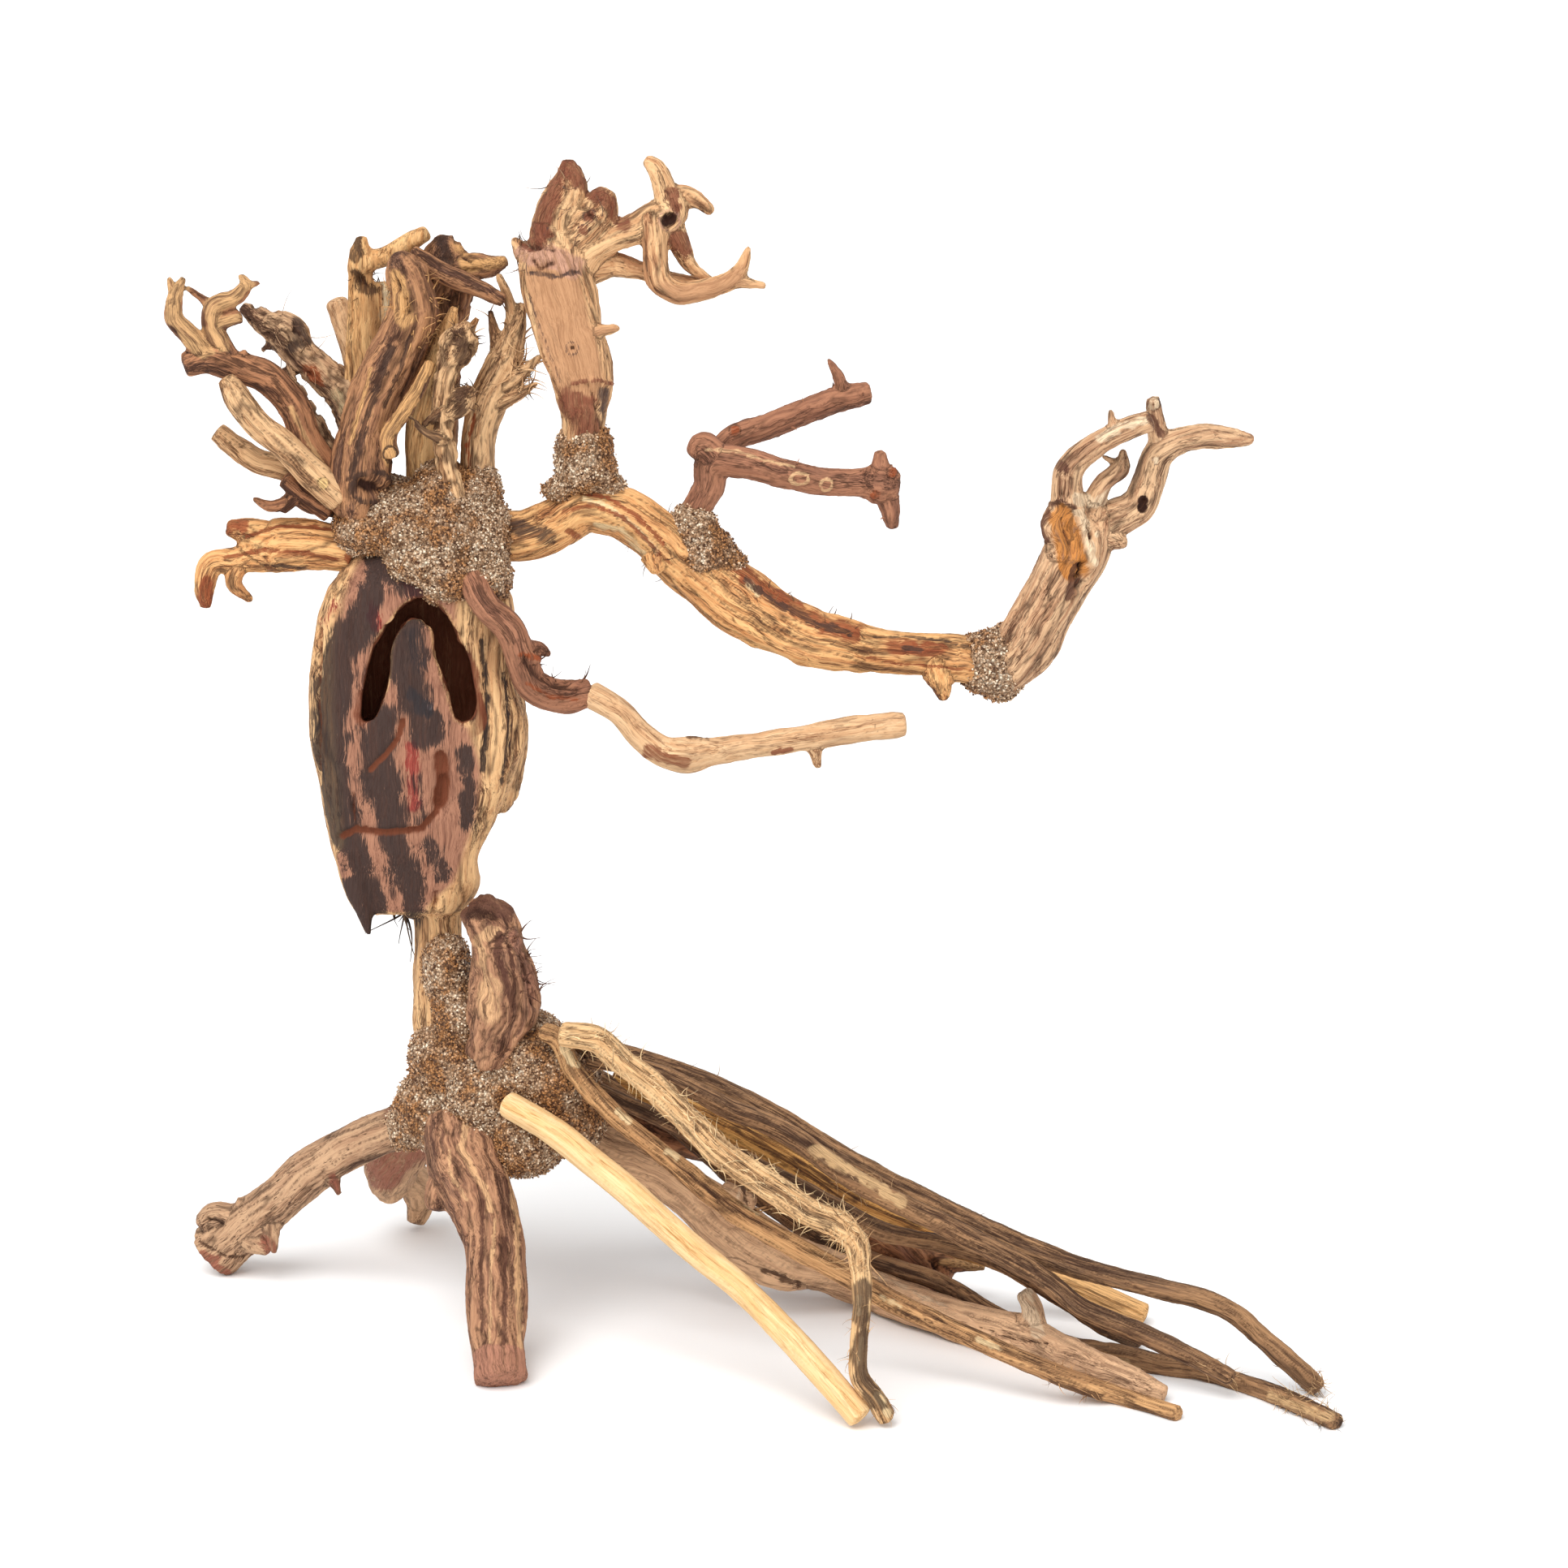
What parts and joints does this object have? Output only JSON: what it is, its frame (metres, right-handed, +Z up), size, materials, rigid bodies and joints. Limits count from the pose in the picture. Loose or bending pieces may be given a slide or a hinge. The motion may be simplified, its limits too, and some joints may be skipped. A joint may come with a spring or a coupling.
{
  "type": "piece of driftwood",
  "caption": "Tree-like driftwood ornament of weathered branches and roots joined with lumps of sand and glue.",
  "frame": {"origin": "on the ground, under the middle of the object's outline", "axes": "+Z up, +X to the side that the long arm and the roots reach, +Y from the sawn front to the back"},
  "size_m": [0.3547, 0.1831, 0.3653],
  "materials": {
    "tan_wood": "weathered, dry and matt, with dark grain streaks and knots",
    "red_wood": "weathered reddish brown bark, matt",
    "striped_wood": "weathered brown with wavy cream stripes, matt",
    "dark_wood": "dark fibrous bark with paler ridges, matt",
    "pale_wood": "peeled pale wood with fine grain, matt",
    "grey_wood": "weathered grey brown with short dark checks, matt",
    "fibrous_wood": "frayed pale fibres over darker wood, matt",
    "sand_glue": "coarse sand grains set in clear amber glue"
  },
  "bodies": {
    "root": {"trunk": "tan_wood", "main_arm": "tan_wood", "arm_tip": "tan_wood", "mast": "tan_wood", "forked_twig": "red_wood", "knot_piece": "striped_wood", "lower_arm": "tan_wood", "lower_arm_tip": "tan_wood", "crown_branch": "dark_wood", "left_stump": "red_wood", "crown_stem": "tan_wood", "crown_spray": "tan_wood", "crown_fork": "pale_wood", "crown_back": "dark_wood", "crown_board": "pale_wood", "crown_stick": "dark_wood", "antler_branch": "red_wood", "pale_branch": "pale_wood", "dark_branch": "dark_wood", "pale_slab": "pale_wood", "back_stub": "red_wood", "pale_curl": "pale_wood", "red_stub": "red_wood", "left_leg": "grey_wood", "front_leg": "striped_wood", "rear_leg": "red_wood", "main_root": "grey_wood", "rear_root": "red_wood", "front_stick": "pale_wood", "rear_stick": "pale_wood", "striped_vine": "tan_wood", "frayed_vine": "fibrous_wood", "upper_vine": "dark_wood", "patched_vine": "dark_wood", "inner_vine": "dark_wood", "low_vine": "dark_wood", "upper_joint": "sand_glue", "lower_joint": "sand_glue", "mast_joint": "sand_glue", "twig_joint": "sand_glue", "elbow_joint": "sand_glue"}
  },
  "joints": []
}
